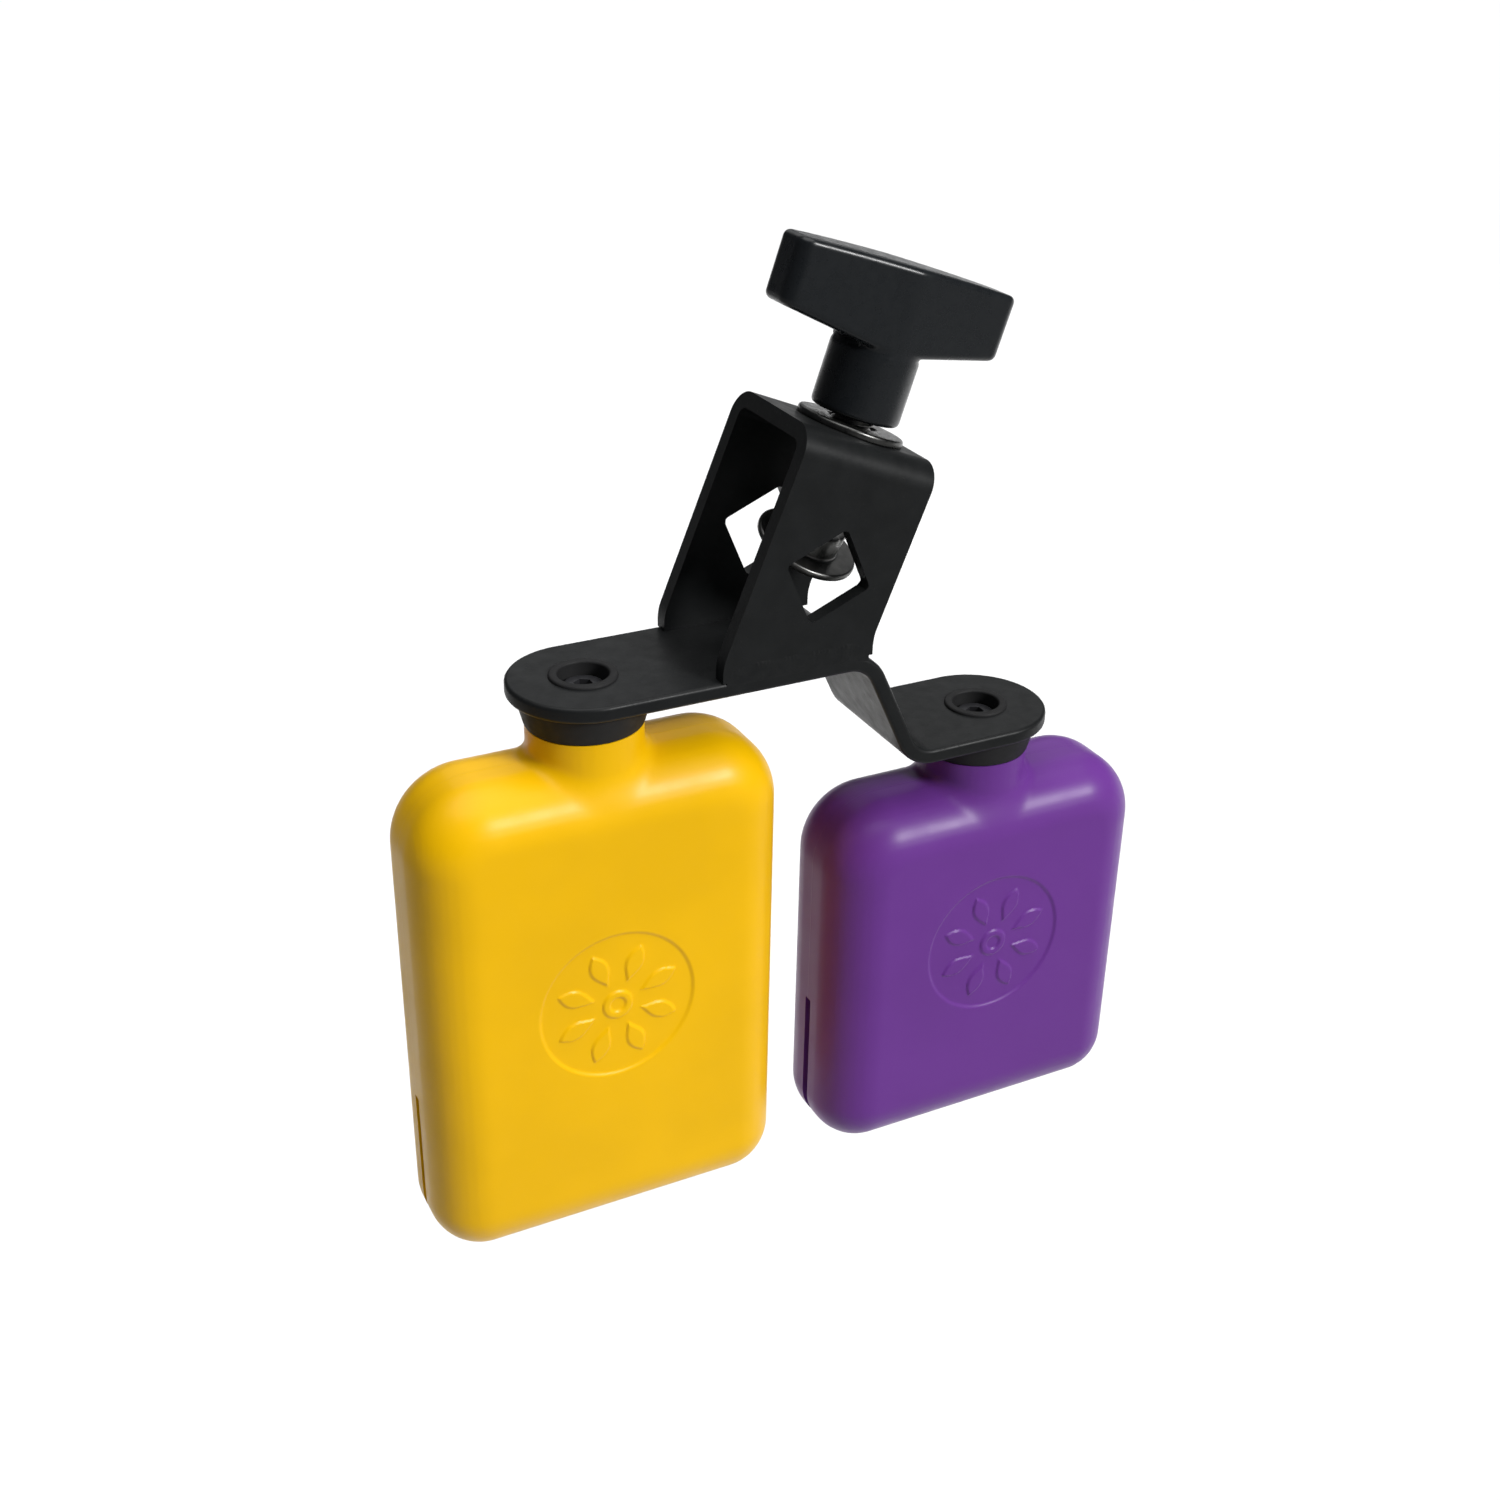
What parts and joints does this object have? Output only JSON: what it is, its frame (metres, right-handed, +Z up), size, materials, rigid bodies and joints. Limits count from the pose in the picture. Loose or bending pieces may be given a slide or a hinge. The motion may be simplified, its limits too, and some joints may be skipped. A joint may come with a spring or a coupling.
{
  "type": "clamp-on double percussion block",
  "caption": "Low and high hollow plastic percussion blocks hung under a stepped steel strip, with a leaning welded clamp strap, knob screw and swivelling foot that grip a rod.",
  "frame": {"origin": "midway between the clamp's two diamond holes, at their centre, where the holding rod passes", "axes": "+X along the strip from the low block to the high block, +Y to the back along the holding rod, +Z up"},
  "size_m": [0.156, 0.0288, 0.1911],
  "materials": {
    "satin_black_coat": "satin black powder coat",
    "zinc_steel": "bright zinc plated",
    "gloss_black_plastic": "glossy moulded",
    "nylon": "natural nylon",
    "black_rubber": "matte",
    "low_block_plastic": "satin, lightly textured",
    "high_block_plastic": "satin, lightly textured",
    "brass": "turned",
    "black_steel": "black oxide"
  },
  "bodies": {
    "frame": {"bracket_strip": "satin_black_coat", "clamp_strap": "satin_black_coat", "front_weld_bead": "satin_black_coat", "back_weld_bead": "satin_black_coat", "clamp_nut": "zinc_steel", "low_grommet": "black_rubber", "high_grommet": "black_rubber"},
    "seat": {"ball_seat": "nylon"},
    "screw": {"clamp_screw": "zinc_steel", "knob": "gloss_black_plastic"},
    "foot": {"pressure_foot": "zinc_steel", "foot_retainer": "zinc_steel"},
    "low_block": {"low_block_shell": "low_block_plastic", "low_neck_insert": "brass", "low_spacer": "zinc_steel", "low_washer": "zinc_steel", "low_block_screw": "black_steel"},
    "high_block": {"high_block_shell": "high_block_plastic", "high_neck_insert": "brass", "high_spacer": "zinc_steel", "high_washer": "zinc_steel", "high_block_screw": "black_steel"}
  },
  "joints": [
    {"name": "clamp_travel", "type": "slide", "parent": "frame", "child": "seat", "axis": [0.3206, 0, 0.9472], "range_m": [-0.0003, 0.01]},
    {"name": "knob_turn", "type": "hinge", "parent": "seat", "child": "screw", "pos_m": [0.00482, 0, 0.00365], "axis": [0.3206, 0, 0.9472], "range_deg": [-88.4, 2882]},
    {"name": "foot_tilt", "type": "hinge", "parent": "seat", "child": "foot", "pos_m": [0.00482, 0, 0.00365], "axis": [0.9472, 0, -0.3206], "range_deg": [-40, 2]},
    {"name": "low_block_swivel", "type": "hinge", "parent": "frame", "child": "low_block", "pos_m": [-0.04128, 0, -0.02545], "axis": [0, 0, 1], "continuous": true},
    {"name": "high_block_swivel", "type": "hinge", "parent": "frame", "child": "high_block", "pos_m": [0.04272, 0, -0.04845], "axis": [0, 0, 1], "continuous": true}
  ],
  "couplings": [
    {"joint": "knob_turn", "follows": "clamp_travel", "rad_per_m": 5026.5}
  ]
}
